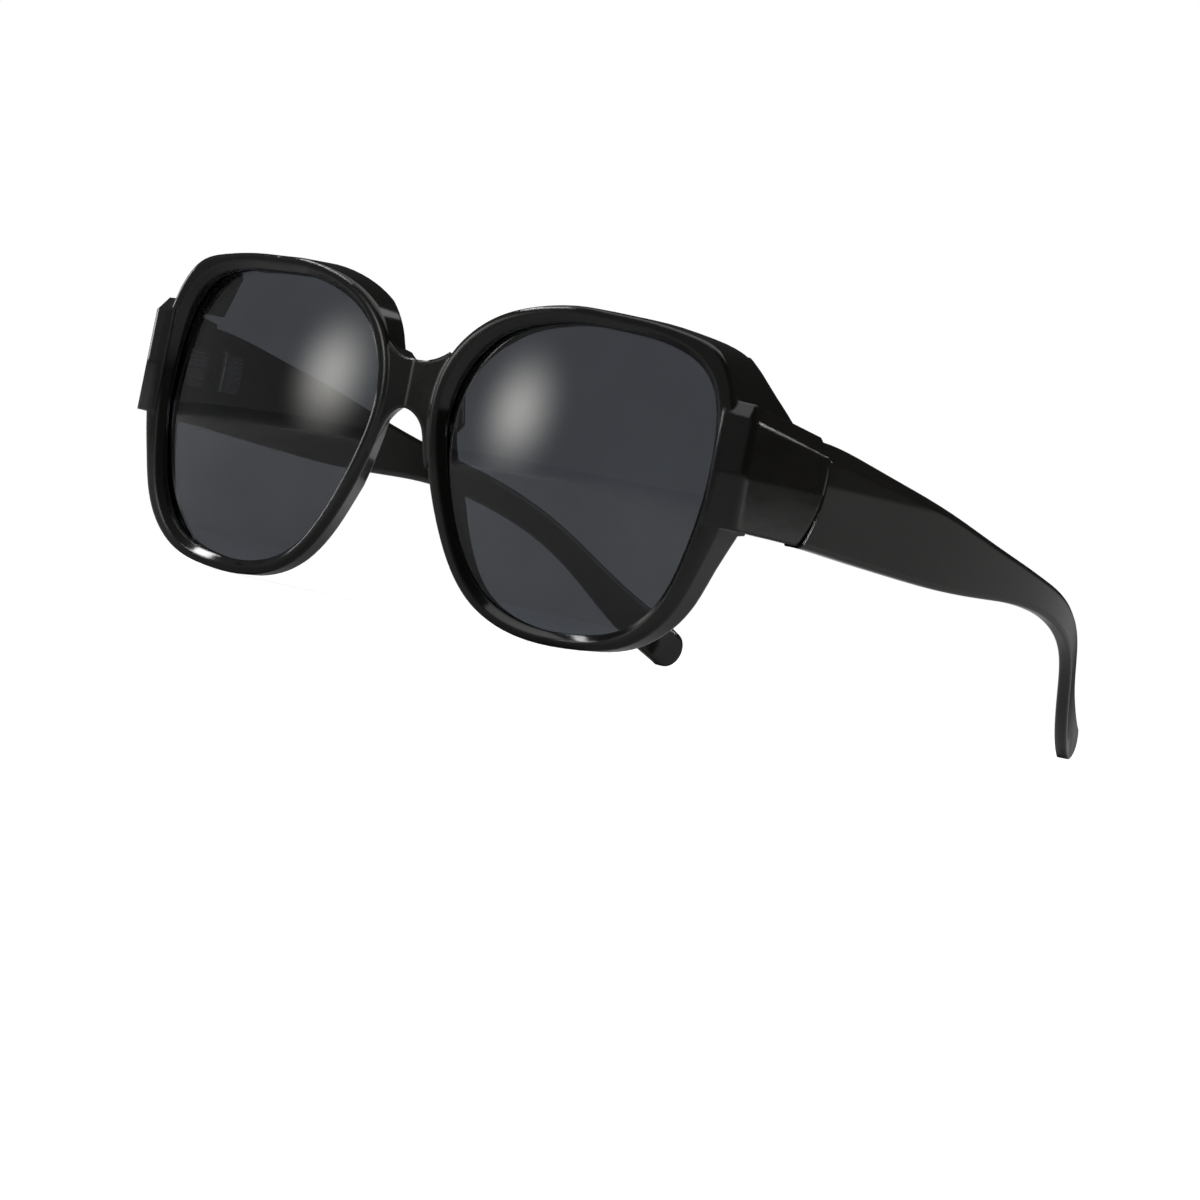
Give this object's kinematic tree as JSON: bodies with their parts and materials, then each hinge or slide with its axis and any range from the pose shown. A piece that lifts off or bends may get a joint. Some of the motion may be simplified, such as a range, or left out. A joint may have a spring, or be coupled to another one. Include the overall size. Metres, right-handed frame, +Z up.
{
  "type": "fitover sunglasses",
  "caption": "Oversized glossy fitover sunglasses with smoke lenses, deep side walls and folding temples, worn over ordinary glasses.",
  "frame": {"origin": "middle of the bounding box at the surface that the glasses stand on, on their rims and temple tips", "axes": "+X to the wearer's left, +Y from the front back to the temple tips, +Z up"},
  "size_m": [0.1588, 0.16, 0.0615],
  "materials": {
    "front_plastic": "polished black injection moulding",
    "temple_plastic": "polished black injection moulding",
    "lens_tint": "smoke grey polarised sheet, hard coated",
    "hinge_metal": "satin nickel silver",
    "screw_metal": "turned and plated"
  },
  "bodies": {
    "front": {"front_frame": "front_plastic", "left_lens": "lens_tint", "left_front_leaf": "hinge_metal", "left_hinge_screw": "screw_metal", "left_front_leaf_screws": "screw_metal", "right_lens": "lens_tint", "right_front_leaf": "hinge_metal", "right_hinge_screw": "screw_metal", "right_front_leaf_screws": "screw_metal"},
    "left_temple_body": {"left_temple": "temple_plastic", "left_temple_leaf": "hinge_metal", "left_temple_leaf_screws": "screw_metal"},
    "right_temple_body": {"right_temple": "temple_plastic", "right_temple_leaf": "hinge_metal", "right_temple_leaf_screws": "screw_metal"}
  },
  "joints": [
    {"name": "left_temple_fold", "type": "hinge", "parent": "front", "child": "left_temple_body", "pos_m": [0.07345, -0.05366, 0.03775], "axis": [0, -0.0329, 0.9995], "range_deg": [0, 85]},
    {"name": "right_temple_fold", "type": "hinge", "parent": "front", "child": "right_temple_body", "pos_m": [-0.07345, -0.05366, 0.03775], "axis": [0, 0.0329, -0.9995], "range_deg": [0, 78]}
  ]
}
